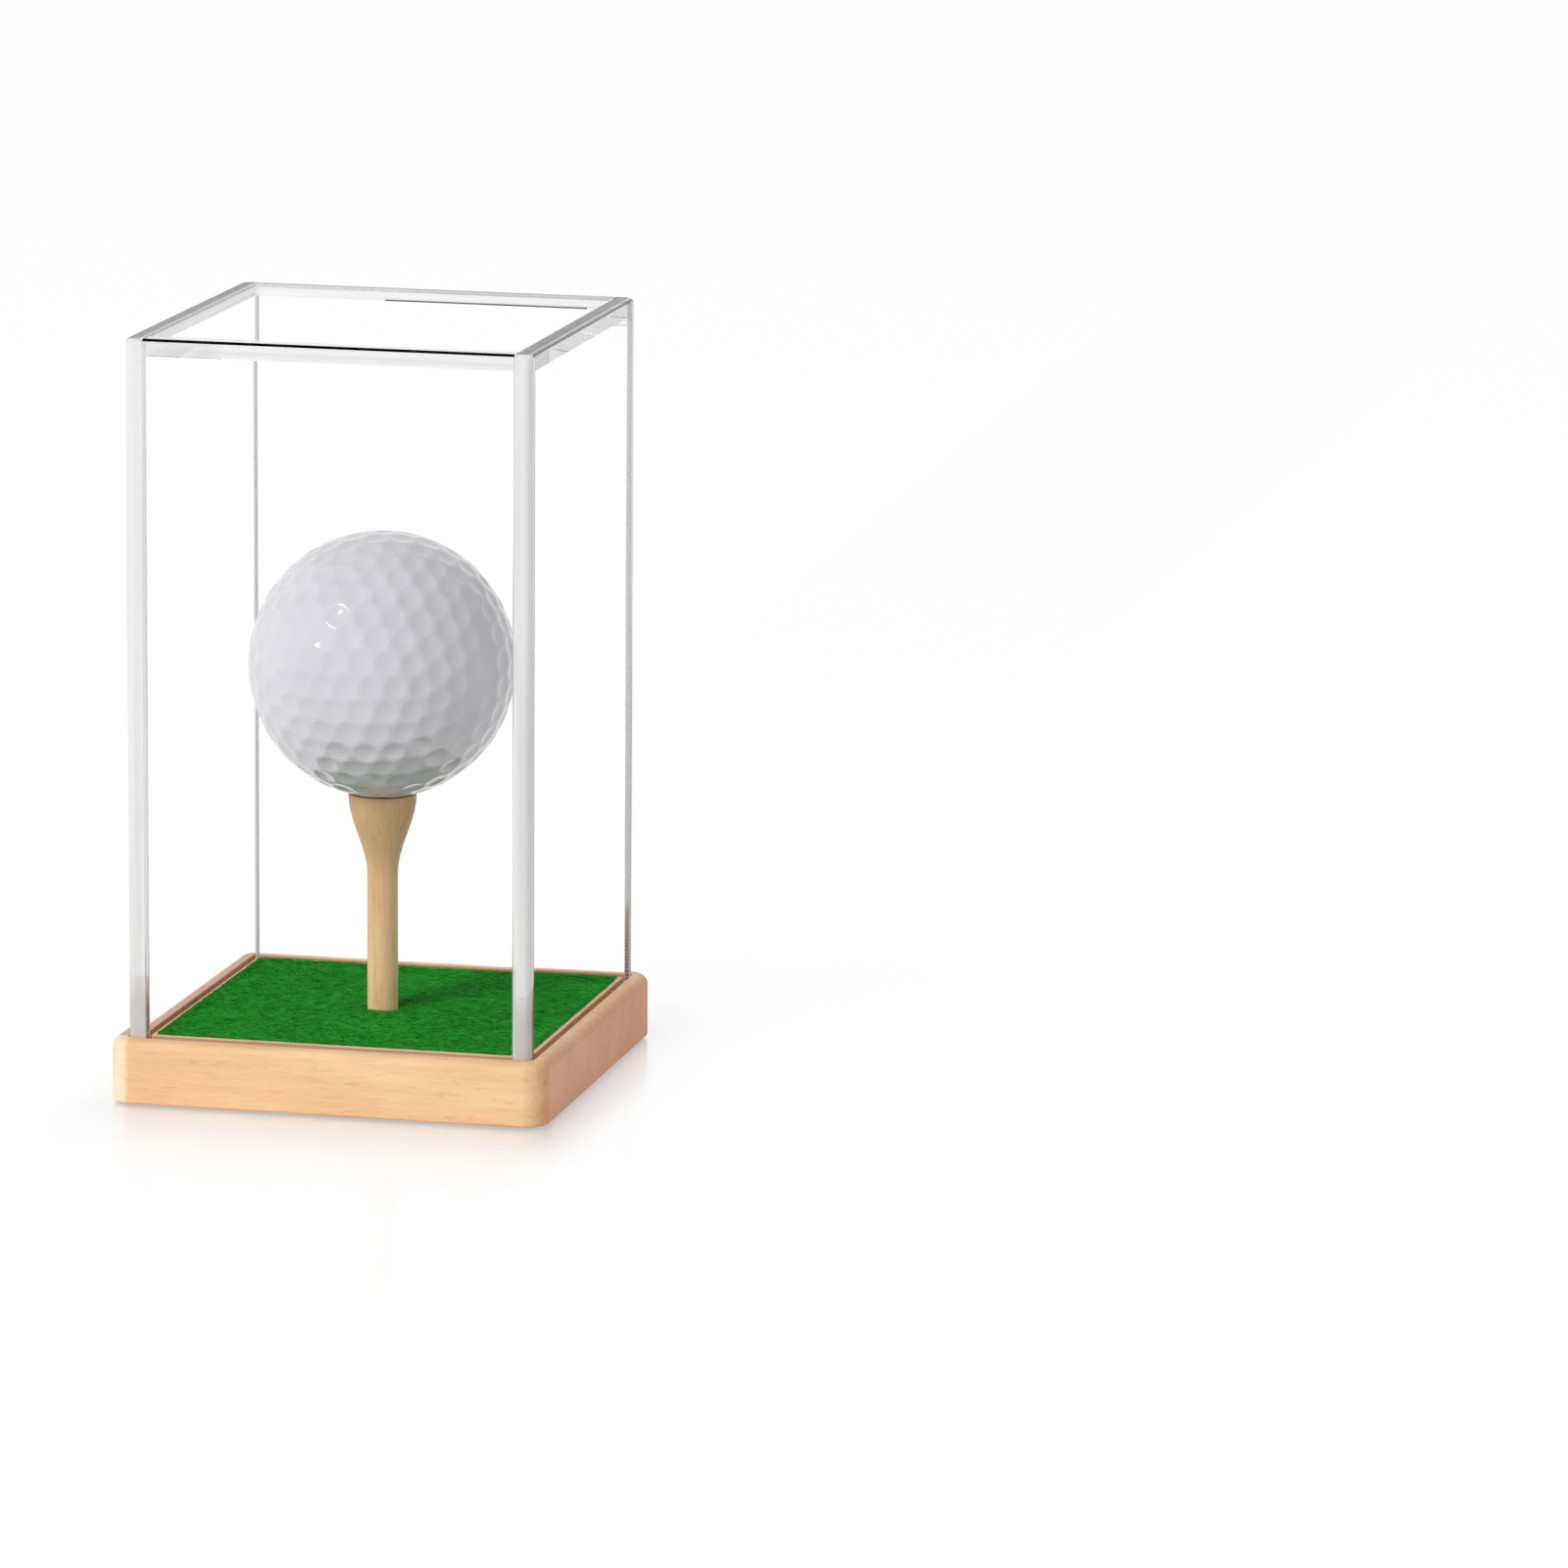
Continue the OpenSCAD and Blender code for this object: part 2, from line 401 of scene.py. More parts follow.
def frosted(nodes, links, clear, frost, along, sawn):
    """clear under a sawn surface, in fine streaks along an axis. sawn: its darkest and palest tone."""
    saw = noise(nodes, links, stretched(along, *SAW_MARKS), detail=2)
    pale = nodes.new("ShaderNodeBsdfDiffuse")
    tones = ramp(nodes, links, saw, ((0.3, (sawn[0],) * 3), (0.7, (sawn[1],) * 3)))
    links.new(tones, pale.inputs["Color"])
    amount = value_range(nodes, links, saw, frost + SAW_SPREAD, frost - SAW_SPREAD)
    return mix_shaders(nodes, links, amount, clear, pale.outputs["BSDF"])


def mix_shaders(nodes, links, factor, one, two):
    node = nodes.new("ShaderNodeMixShader")
    links.new(factor, node.inputs["Fac"])
    links.new(one, node.inputs[1])
    links.new(two, node.inputs[2])
    return node.outputs["Shader"]


def rubber(name, colour):
    material, nodes, links, shader = new_material(name)
    grain = noise(nodes, links, (RUBBER_GRAIN,) * 3, detail=3)
    darker, lighter = [0.8 * c for c in colour], [1.2 * c for c in colour]
    tones = ramp(nodes, links, grain, ((0.3, darker), (0.7, lighter)))
    links.new(tones, shader.inputs["Base Color"])
    links.new(value_range(nodes, links, grain, 0.6, 0.8), shader.inputs["Roughness"])
    bump(nodes, links, shader, grain, RUBBER_RELIEF)
    return material


def film(name):
    material, nodes, links, shader = new_material(name)
    cloud = noise(nodes, links, (SOFT_CLOUD,) * 3)
    tones = ramp(nodes, links, cloud, ((0.3, (0.66, 0.63, 0.54)), (0.7, (0.74, 0.71, 0.62))))
    links.new(tones, shader.inputs["Base Color"])
    links.new(value_range(nodes, links, cloud, 0.45, 0.6), shader.inputs["Roughness"])
    return material


def ball_paint(name):
    """Clear-coated white paint with a faint cloud in it."""
    material, nodes, links, shader = new_material(name)
    cloud = noise(nodes, links, (PAINT_CLOUD,) * 3, detail=3)
    skin = noise(nodes, links, (PAINT_GRAIN,) * 3, detail=2)
    tones = ramp(nodes, links, cloud, ((0.3, (0.60, 0.59, 0.635)), (0.7, (0.65, 0.64, 0.685))))
    links.new(tones, shader.inputs["Base Color"])
    links.new(value_range(nodes, links, skin, 0.35, 0.45), shader.inputs["Roughness"])
    shader.inputs["Coat Weight"].default_value = 1
    shader.inputs["Coat Roughness"].default_value = 0.03
    bump(nodes, links, shader, skin, PAINT_RELIEF)
    return material


def turf_fibre(name, dark, light):
    """Green nylon, lighter in brushed strokes along X."""
    material, nodes, links, shader = new_material(name)
    strokes = noise(nodes, links, stretched(0, *TURF_STROKES), detail=3, roughness=0.65)
    patches = noise(nodes, links, stretched(0, *TURF_PATCHES), detail=3)
    colour = ramp(nodes, links, strokes, ((0.40, dark), (0.62, light)))
    shade = ramp(nodes, links, patches, ((0.3, (0.84, 0.86, 0.84)), (0.7, (1.1, 1.08, 1.1))))
    links.new(mix(nodes, links, "MULTIPLY", 1, colour, shade), shader.inputs["Base Color"])
    links.new(value_range(nodes, links, strokes, 0.65, 0.85), shader.inputs["Roughness"])
    shader.inputs["Specular IOR Level"].default_value = DULL
    bump(nodes, links, shader, strokes, FIBRE_RELIEF)
    return material


# The wooden base

PADS = ["foot_pad_front_left", "foot_pad_front_right", "foot_pad_back_left", "foot_pad_back_right"]
PAD_SOFT = 0.15 * MM
# Along the base: a painted highlight lightens its left end and stops over the first pair; a painted shade
# darkens and reddens its right end and starts over the second
PAINTED_HIGHLIGHT_END = (-32.8 * MM, -32.0 * MM)
PAINTED_SHADE_END = (34.2 * MM, 35.4 * MM)
NO_TINT = ((-base_half, WHITE), (base_half, WHITE))
# A face of the left rim whose normal rises more than this belongs to its top
RIM_UP = 0.6


def base_mesh():
    top, low = BASE_TOP_ROUND, BASE_LOW_ROUND
    groove_out = cover_half + GROOVE_GAP
    plateau = cover_inner - GROOVE_GAP
    pocket = turf_high[0] + TURF_GAP
    groove_corner = COVER_EDGE + GROOVE_GAP
    edge, tight = WOOD_BREAK, 2 * WOOD_BREAK
    rings = bend(base_half - low, BASE_CORNER - low, base_low[2] + low, low, -90, 0)
    rings += bend(base_half - top, BASE_CORNER - top, base_top - top, top, 0, 90)
    rings += bend(groove_out + edge, groove_corner + edge, base_top - edge, edge, 90, 180)
    rings += [square(groove_out, groove_corner, groove_floor), square(plateau, tight, groove_floor)]
    rings += bend(plateau - edge, tight, base_top - edge, edge, 0, 90)
    rings += bend(pocket + edge, tight, base_top - edge, edge, 90, 180)
    rings.append(square(pocket, edge, pocket_floor))
    rings += [circle(SOCKET_R, pocket_floor), circle(SOCKET_R, socket_floor)]
    return loft("wooden_base", rings)


def pad_recess():
    """Four short round cutters where the pads sit."""
    bm = bmesh.new()
    for node in PADS:
        low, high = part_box(node)
        r = (high[0] - low[0]) / 2 + PAD_GAP
        place = Matrix.Translation(((low[0] + high[0]) / 2, (low[1] + high[1]) / 2, high[2] / 2))
        bmesh.ops.create_cone(
            bm, cap_ends=True, segments=64, radius1=r, radius2=r, depth=high[2], matrix=place)
    mesh = bpy.data.meshes.new("pad_recess")
    bm.to_mesh(mesh)
    bm.free()
    return mesh


def cut(mesh, tool):
    """mesh less tool, by a boolean that is applied at once."""
    body = bpy.data.objects.new("cut_body", mesh)
    cutter = bpy.data.objects.new("cutter", tool)
    for obj in (body, cutter):
        bpy.context.scene.collection.objects.link(obj)
    less = body.modifiers.new("less", "BOOLEAN")
    less.operation = "DIFFERENCE"
    less.solver = "EXACT"
    less.object = cutter
    bpy.context.view_layer.update()
    evaluated = body.evaluated_get(bpy.context.evaluated_depsgraph_get())
    done = bpy.data.meshes.new_from_object(evaluated)
    for obj in (body, cutter):
        bpy.data.objects.remove(obj)
    done.shade_smooth()
    done.set_sharp_from_angle(angle=SHARP_FROM)
    return done


def base_finish(place, normal):
    """The material of a face of the base: 0 sanded wood, 1 the groove and 2 the left rim's top, both
    darker wood as painted shade.
    """
    reach = max(abs(place.x), abs(place.y))
    in_groove = cover_inner - 2 * GROOVE_GAP < reach < cover_half + 2 * GROOVE_GAP
    if in_groove and groove_floor - WOOD_BREAK < place.z < base_top - 2 * WOOD_BREAK:
        return 1
    on_left = place.x < -cover_half - GROOVE_GAP and place.y > BASE_CORNER - base_half
    return 2 if on_left and normal.z > RIM_UP else 0


def add_base():
    base_wood = wood(
        "base_wood", 0,
        ((0.28, (0.86, 0.54, 0.29)), (0.5, (0.92, 0.60, 0.335)), (0.75, (0.94, 0.65, 0.385))),
        # Tints by place: a painted highlight on the left end's rounding, a painted shade on the right end
        ((PAINTED_HIGHLIGHT_END[0], (1.06, 1.40, 1.78)), (PAINTED_HIGHLIGHT_END[1], WHITE),
         (PAINTED_SHADE_END[0], WHITE), (PAINTED_SHADE_END[1], (0.98, 0.75, 0.73))), 0.42)
    # The groove's faces: darker wood, as painted shade in the groove
    groove_shade_wood = wood(
        "groove_shade_wood", 0,
        ((0.28, (0.56, 0.30, 0.19)), (0.5, (0.62, 0.36, 0.23)), (0.75, (0.66, 0.40, 0.26))),
        NO_TINT, 0.6)
    # The left rim's top: darker, pinker wood, as painted shade
    rim_shade_wood = wood(
        "rim_shade_wood", 0,
        ((0.28, (0.71, 0.41, 0.28)), (0.5, (0.76, 0.46, 0.32)), (0.75, (0.80, 0.51, 0.36))),
        NO_TINT, 0.42)
    skin = cut(base_mesh(), pad_recess())
    for face in skin.polygons:
        face.material_index = base_finish(face.center, face.normal)
    piece("wooden_base", skin, "base", [base_wood, groove_shade_wood, rim_shade_wood], ["base_block"])


def add_pad(node, material):
    """A round pad with a soft lower edge."""
    low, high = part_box(node)
    x, y = (low[0] + high[0]) / 2, (low[1] + high[1]) / 2
    r, step = (high[0] - low[0]) / 2, PAD_SOFT / 3
    rings = [circle(r - PAD_SOFT, low[2]), circle(r - step, low[2] + step)]
    rings += [circle(r, low[2] + PAD_SOFT), circle(r, high[2])]
    disc = loft(node + "_disc", [[(px + x, py + y, z) for px, py, z in one] for one in rings])
    piece(node + "_disc", disc, "base", [material], [node])


add_base()
pad_rubber = rubber("pad_rubber", (0.012, 0.012, 0.013))
for pad in PADS:
    add_pad(pad, pad_rubber)


# The turf: a backing with a hole for the tee, and lying fibres on it

TURF_HOLE_R = SHANK_R + 0.15 * MM
BACKING_H = 0.75 * MM
BACKING_EDGE = 0.1 * MM
PILE_SEED = 7
FIBRES = 36000
EDGE_FIBRES = 7000
EDGE_BAND = (0.05 * MM, 0.9 * MM)
FIBRE_LEN = (0.6 * MM, 1.9 * MM)
FIBRE_WIDE = (0.06 * MM, 0.12 * MM)
FIBRE_HIGH = (0.15 * MM, 0.38 * MM)
# The share of the field's fibres that point right, and how far directions spread, in radians
FIBRES_RIGHT = 0.8
FIELD_SPREAD = 0.22
EDGE_SPREAD = 0.08
# A fibre at three places along it: the place, its height and its width, as shares
FIBRE_STATIONS = (0.0, 0.45, 1.0)
FIBRE_LIFT = (0.0, 1.0, 0.6)
FIBRE_TAPER = (1.0, 0.9, 0.2)
# How far its end bends sideways, as a share of its length, and how steeply it lies across its width
FIBRE_SWAY = 0.12
FIBRE_TILT = 0.5
# The pile swells a little over the pocket's edge
PILE_OVER = 0.55 * MM
SWELL_FROM = 1.2 * MM
SWELL = 0.3 * MM


def backing_mesh():
    half, top, low = turf_high[0], turf_low[2] + BACKING_H, turf_low[2]
    edge = BACKING_EDGE
    return loft("turf_backing", [
        square(half, edge, low), square(half, edge, top - edge), square(half - edge, edge, top),
        circle(TURF_HOLE_R, top), circle(TURF_HOLE_R, low)], joined=True)


def fibre_mesh():
    """Bent ribbons that start in the backing and end near the pile's top.

    Those of the field arch along X, and the extra ones near an edge along that edge."""
    rng = np.random.default_rng(PILE_SEED)
    half, root_z = turf_high[0] + PILE_OVER, turf_low[2] + BACKING_H
    count = FIBRES + EDGE_FIBRES
    x, y = rng.uniform(-half - FIBRE_LEN[0], half + FIBRE_LEN[0], (2, FIBRES))
    side = np.where(rng.random(FIBRES) < FIBRES_RIGHT, 0.0, math.pi)
    angle = side + rng.normal(0, FIELD_SPREAD, FIBRES)
    along_edge = rng.uniform(-half, half, EDGE_FIBRES)
    near_edge = (half - rng.uniform(*EDGE_BAND, EDGE_FIBRES)) * rng.choice((-1, 1), EDGE_FIBRES)
    turned = rng.random(EDGE_FIBRES) < 0.5
    x = np.append(x, np.where(turned, near_edge, along_edge))
    y = np.append(y, np.where(turned, along_edge, near_edge))
    edge_angle = np.where(turned, math.pi / 2, 0) + rng.normal(0, EDGE_SPREAD, EDGE_FIBRES)
    angle = np.append(angle, edge_angle)
    length = rng.uniform(*FIBRE_LEN, count)
    wide = rng.uniform(*FIBRE_WIDE, count)
    high = rng.uniform(*FIBRE_HIGH, count)
    sway = rng.normal(0, FIBRE_SWAY, count)
    along = np.stack([np.cos(angle), np.sin(angle)], 1)
    across = np.stack([-np.sin(angle), np.cos(angle)], 1)
    rows, inside = [], np.ones(count, bool)
    for s, up, thin in zip(FIBRE_STATIONS, FIBRE_LIFT, FIBRE_TAPER):
        run = np.stack([x, y], 1) + along * (length * s)[:, None]
        run = run + across * (sway * length * s * s)[:, None]
        if s > 0:
            inside &= np.abs(run).max(1) < half
        for edge in (-0.5, 0.5):
            spot = np.clip(run + across * (edge * wide * thin)[:, None], -half, half)
            tilt = edge * wide * thin * FIBRE_TILT
            to_edge = half - np.abs(spot).max(1)
            swell = SWELL * np.clip(1 - (to_edge - PILE_OVER) / SWELL_FROM, 0, 1)
            rows.append(np.column_stack([spot, root_z + high * up + tilt + swell]))
    points = np.stack(rows, 1)
    away = np.hypot(points[:, :, 0], points[:, :, 1]).min(1) > TURF_HOLE_R
    points = points[away & inside]
    count, per = points.shape[:2]
    strips = range(len(FIBRE_STATIONS) - 1)
    quads = np.array([[2 * k, 2 * k + 1, 2 * k + 3, 2 * k + 2] for k in strips])
    faces = (quads[None] + (np.arange(count) * per)[:, None, None]).reshape(-1, 4)
    mesh = bpy.data.meshes.new("turf_pile")
    mesh.from_pydata(points.reshape(-1, 3).tolist(), [], faces.tolist())
    mesh.shade_smooth()
    return mesh


backing_green = turf_fibre("backing_green", (0.006, 0.13, 0.008), (0.012, 0.20, 0.014))
pile_green = turf_fibre("pile_green", (0.0065, 0.215, 0.0085), (0.030, 0.43, 0.037))
backing = piece("turf_backing", backing_mesh(), "base", [backing_green], ["turf_mat"])
pile = piece("turf_pile", fibre_mesh(), "base", [pile_green], weighted=False)

finish_node("turf_film", film("adhesive_film"))


# The tee

SHANK_CHAMFER = 0.4 * MM
FLARE_STEPS = 28
CUP_STEPS = 9
# Heights between which a painted shade darkens the wood from its shank to its head, under the ball
TEE_PAINTED_SHADE_FROM = 17 * MM
TEE_PAINTED_SHADE_TO = 45 * MM


def tee_mesh():
    rim_z, soft = tee_high[2], WOOD_BREAK
    cup_r = tee_head_r - RIM_LAND
    seat_r = ball_r + SEAT_GAP
    rings = [circle(SHANK_R - SHANK_CHAMFER, socket_floor)]
    rings.append(circle(SHANK_R, socket_floor + SHANK_CHAMFER))
    for i in range(FLARE_STEPS):
        t = i / FLARE_STEPS
        swell = (1 - math.cos(math.pi * t)) / 2
        rings.append(circle(SHANK_R + (tee_head_r - SHANK_R) * swell, rim_z - FLARE_H * (1 - t)))
    rings += [circle(tee_head_r - soft * (1 - math.cos(a)), rim_z - soft * (1 - math.sin(a)))
              for a in (0, math.pi / 6, math.pi / 3, math.pi / 2)]
    for i in range(CUP_STEPS):
        r = cup_r * (1 - i / CUP_STEPS)
        rings.append(circle(r, ball_centre[2] - math.sqrt(seat_r ** 2 - r ** 2)))
    return loft("turned_tee", rings)


tee_wood = wood(
    "tee_wood", 2,
    ((0.28, (0.90, 0.60, 0.31)), (0.5, (0.97, 0.68, 0.37)), (0.75, (0.98, 0.73, 0.42))),
    ((TEE_PAINTED_SHADE_FROM, (1, 1.02, 1.06)), (TEE_PAINTED_SHADE_TO, (0.64, 0.64, 0.64))), 0.45)
piece("turned_tee", tee_mesh(), "tee", [tee_wood], ["tee"])


# The ball

BALL_SUBDIVISIONS = 7
# The rim is rounded over this band, where the cap meets the sphere
DIMPLE_SOFT = 0.025 * MM


def dimple_directions(steps):
    """The corners, sides and faces of an icosahedron, divided evenly by angle."""
    golden = (1 + math.sqrt(5)) / 2
    corner_len = math.hypot(1, golden)
    corners = []
    for a in (-1, 1):
        for b in (-golden, golden):
            v = (0, a / corner_len, b / corner_len)
            corners += [np.array([v[k], v[(k + 1) % 3], v[(k + 2) % 3]]) for k in range(3)]
    side_len = 2 / corner_len
    side_angle = 2 * math.asin(side_len / 2)

    def joined(i, j):
        return abs(np.linalg.norm(corners[i] - corners[j]) - side_len) < 0.01

    def share(k):
        return math.sin(k * side_angle / steps)

    found = list(corners)
    sides = [(i, j) for i in range(12) for j in range(i + 1, 12) if joined(i, j)]
    for i, j in sides:
        found += [corners[i] * share(k) + corners[j] * share(steps - k) for k in range(1, steps)]
        for m in range(j + 1, 12):
            if joined(i, m) and joined(j, m):
                found += [
                    corners[i] * share(a) + corners[j] * share(b) + corners[m] * share(steps - a - b)
                    for a in range(1, steps - 1) for b in range(1, steps - a)]
    found = np.array(found)
    return found / np.linalg.norm(found, axis=1)[:, None]


def ball_mesh(subdivisions):
    """A fine sphere pressed in by the caps of the dimples."""
    bm = bmesh.new()
    bmesh.ops.create_icosphere(bm, subdivisions=subdivisions, radius=1)
    mesh = bpy.data.meshes.new("dimpled_skin")
    bm.to_mesh(mesh)
    bm.free()
    points = np.zeros(len(mesh.vertices) * 3)
    mesh.vertices.foreach_get("co", points)
    points = points.reshape(-1, 3)
    points /= np.linalg.norm(points, axis=1)[:, None]
    dimples = dimple_directions(DIMPLE_STEPS)
    apart = np.linalg.norm(dimples[:, None] - dimples[None], axis=2)
    np.fill_diagonal(apart, 2)
    rim_r = (ball_r * apart.min(1) - DIMPLE_LAND) / 2
    level = np.sqrt(ball_r ** 2 - rim_r ** 2)
    curve_r = (rim_r ** 2 + DIMPLE_DEPTH ** 2) / (2 * DIMPLE_DEPTH)
    middle = level - DIMPLE_DEPTH + curve_r
    closeness = points @ dimples.T
    near = closeness.argmax(1)
    cosine = closeness[np.arange(len(points)), near]
    reach = middle[near]
    under = np.maximum(curve_r[near] ** 2 - reach ** 2 * (1 - cosine ** 2), 0)
    cap = reach * cosine - np.sqrt(under)
    blend = np.clip(0.5 + (cap - ball_r) / (2 * DIMPLE_SOFT), 0, 1)
    radius = cap + (ball_r - cap) * blend - DIMPLE_SOFT * blend * (1 - blend)
    points = points * np.minimum(radius, ball_r)[:, None] + np.array(ball_centre)
    mesh.vertices.foreach_set("co", points.ravel())
    mesh.update()
    mesh.shade_smooth()
    return mesh


piece(
    "dimpled_skin", ball_mesh(BALL_SUBDIVISIONS), "ball", [ball_paint("ball_paint")],
    ["ball_skin"], weighted=False)
finish_node("ball_core", rubber("core_rubber", (0.35, 0.06, 0.04)))


# The clear cover

TOP_ROUND = 0.8 * MM
# Half of the dry line at a bonded seam
SEAM = 0.01 * MM
# Distances from the middle: the left sheet's top end is grey from here out, the right one's up to here.
# The grey is painted shade, standing in for the grey that refraction gives these ends
LEFT_GREY_FROM = 30.4 * MM
RIGHT_GREY_TO = 31.9 * MM
# The foot of the cement that ran down under the top sheet. From CEMENT_FROM on it slopes up to the front
CEMENT_FOOT = lid_low[2] - 1.5 * MM
CEMENT_FROM = -20 * MM
CEMENT_SLOPE = (lid_low[2] - CEMENT_FOOT) / (cover_inner + CEMENT_FROM)
# The dark line along that foot at the back, and its two ends. The line is painted shade, standing in for a
# dark line that refraction shows there
DARK_LINE_WIDTH = 0.25 * MM
LINE_FROM, LINE_TO = -8 * MM, 25.5 * MM
# Parts of a face's normal along an axis: what counts as facing along it, and as facing exactly along it
FACING = 0.9
FACING_EXACTLY = 0.99
# What a rounded top edge has at least, both upward and outward
EDGE_FROM = 0.1
# What is little enough to count as none
LITTLE = 0.3
# The grey of the right sheet's rounded edge, a painted shade, ends where the normal rises to this
GREY_UP_TO = 0.85
# How much the plain mirroring is kept down on faces and on sawn ends, and the tint of sawn ends
FACE_HUSH = 6
END_HUSH = 1.5
END_TINT = (0.95, 0.95, 0.955)

FINISHES = {
    "clear": clear_sheet("face_clear", WHITE, FACE_HUSH),
    "upright_end": clear_sheet("upright_end", END_TINT, END_HUSH, frost=0.65, along=2),
    "level_end": clear_sheet("level_end", END_TINT, END_HUSH, frost=0.5, along=0),
    # A near-black tint: the painted dark line at the cement's foot
    "painted_dark_line": clear_sheet("painted_dark_line", (0.09, 0.09, 0.09), 1.15),
    # A sawn end frosted and tinted grey: a sawn finish with painted shade on it
    "sawn_painted_grey": clear_sheet("sawn_painted_grey", (0.5, 0.5, 0.5), END_HUSH, frost=0.9, along=1, sawn=SAWN_PAINTED_GREY),
    "sawn_pale": clear_sheet("sawn_pale", END_TINT, END_HUSH, frost=0.85, along=0),
    # The front sheet's rounded top edge is tinted near black: a painted dark line, standing in for the
    # dark refraction seen along that edge
    "painted_dark_edge": clear_sheet("painted_dark_edge", (0.006, 0.006, 0.006), 4),
    "cement_left": clear_sheet("cement_left", WHITE, FACE_HUSH, frost=0.45, along=1),
    "cement_back": clear_sheet("cement_back", WHITE, FACE_HUSH, frost=0.75, along=0),
    "bond": bonded_seam("bond"),
    "lid_end": bonded_seam("lid_end", frost=0.7, along=0),
    "lid_left": bonded_seam("lid_left", frost=0.6, along=1),
    "bonded_end": bonded_seam("bonded_end", frost=0.3, along=2),
    "back_left_end": bonded_seam("back_left_end", frost=0.7, along=2),
}


def sheet_mesh(name, low, high, radii, outer, top_round):
    """A cut sheet with broken edges.

    outer says which of its low x, low y, high x and high y sides are on the cover's outside."""
    steps = [(low[2], SHEET_BREAK, SHEET_BREAK)]
    steps += [(low[2] + SHEET_BREAK, 0, 0), (high[2] - top_round, 0, 0)]
    for step in range(1, EDGE_STEPS + 1):
        angle = math.radians(90 * step / EDGE_STEPS)
        rise, draw = top_round * math.sin(angle), top_round * (1 - math.cos(angle))
        steps.append((high[2] - top_round + rise, draw, max(0, SHEET_BREAK - (top_round - rise))))
    rings = []
    for z, out, inner in steps:
        inset = [out if side else inner for side in outer]
        corners = [max(r - inner, SHEET_BREAK / 2) for r in radii]
        start = (low[0] + inset[0], low[1] + inset[1])
        stop = (high[0] - inset[2], high[1] - inset[3])
        rings.append(ring(start, stop, corners, z))
    return loft(name, rings)


def cut_patches(mesh):
    """Cuts at the seams, the greys' ends and the cement's foot, so that each patch has its own faces."""
    level = [lid_low[2], CEMENT_FOOT, CEMENT_FOOT + DARK_LINE_WIDTH]
    across = [-LEFT_GREY_FROM, RIGHT_GREY_TO, LINE_FROM, LINE_TO]
    planes = [(Vector((0, 0, place)), Vector((0, 0, 1))) for place in level]
    planes += [(Vector((place, 0, 0)), Vector((1, 0, 0))) for place in across]
    planes += [(Vector((0, place, 0)), Vector((0, 1, 0))) for place in (-cover_inner, cover_inner)]
    slope = Vector((0, CEMENT_SLOPE, 1)).normalized()
    planes.append((Vector((0, CEMENT_FROM, CEMENT_FOOT)), slope))
    bm = bmesh.new()
    bm.from_mesh(mesh)
    for point, normal in planes:
        everything = bm.verts[:] + bm.edges[:] + bm.faces[:]
        bmesh.ops.bisect_plane(bm, geom=everything, plane_co=point, plane_no=normal)
    bm.to_mesh(mesh)
    bm.free()


def inner_finish(side, c):
    """The finish of a sheet's inner face at a place: bonded, under run-down cement, or clear."""
    if c.z > lid_low[2] or side in ("left", "right") and abs(c.y) > cover_inner + SEAM:
        return "bond"
    foot = CEMENT_FOOT + max(0, CEMENT_FROM - c.y) * CEMENT_SLOPE
    if c.z < foot or side in ("front", "right"):
        return "clear"
    in_line = side == "back" and c.z < CEMENT_FOOT + DARK_LINE_WIDTH and LINE_FROM < c.x < LINE_TO
    return "painted_dark_line" if in_line else "cement_" + side


def top_end_finish(side, c):
    """The finish of a sheet's flat top end at a place. Its grey finish is painted shade."""
    if side == "left" and c.x < -LEFT_GREY_FROM or side == "right" and c.x < RIGHT_GREY_TO:
        return "sawn_painted_grey"
    return {"front": "clear", "back": "sawn_pale", "left": "sawn_pale", "right": "level_end"}[side]


def top_edge_finish(side, n):
    """The finish of the rounded outer edge along a sheet's top. Its near-black and grey finishes are
    painted shade.
    """
    if side == "front":
        return "painted_dark_edge"
    if abs(n.y) < LITTLE and (side == "left" or side == "right" and n.z < GREY_UP_TO):
        return "sawn_painted_grey"
    return "level_end"


def finish_of(side, n, c):
    """The finish of a face of a sheet that faces along n, with its middle at c."""
    if side == "top":
        if abs(n.z) > FACING:
            return "clear"
        if abs(n.y) > FACING:
            return "lid_end"
        return "lid_left" if n.x < -FACING else "bond"
    outward = {"front": -n.y, "back": n.y, "left": -n.x, "right": n.x}[side]
    if outward > FACING:
        return "clear"
    if outward < -FACING:
        return inner_finish(side, c)
    if side in ("front", "back") and abs(n.x) > FACING:
        return "back_left_end" if side == "back" and n.x < 0 else "bonded_end"
    if n.z > FACING_EXACTLY:
        return top_end_finish(side, c)
    if n.z > EDGE_FROM and outward > EDGE_FROM:
        return top_edge_finish(side, n)
    return "upright_end" if abs(n.z) < LITTLE else "level_end"


def add_sheet(side, radii, outer, seams):
    """A sheet of the cover.

    seams: 1 for each x, y and z side, low and then high, that draws back by SEAM from a neighbour."""
    name, node = "cover_" + side, side + "_panel"
    low, high = (np.array(c, float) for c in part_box(node))
    low, high = low + np.array(seams[0]) * SEAM, high - np.array(seams[1]) * SEAM
    mesh = sheet_mesh(name, low, high, radii, outer, TOP_ROUND if any(outer) else SHEET_BREAK)
    cut_patches(mesh)
    names = list(FINISHES)
    for face in mesh.polygons:
        face.material_index = names.index(finish_of(side, face.normal, face.center))
    piece(name, mesh, "cover", list(FINISHES.values()), [node])


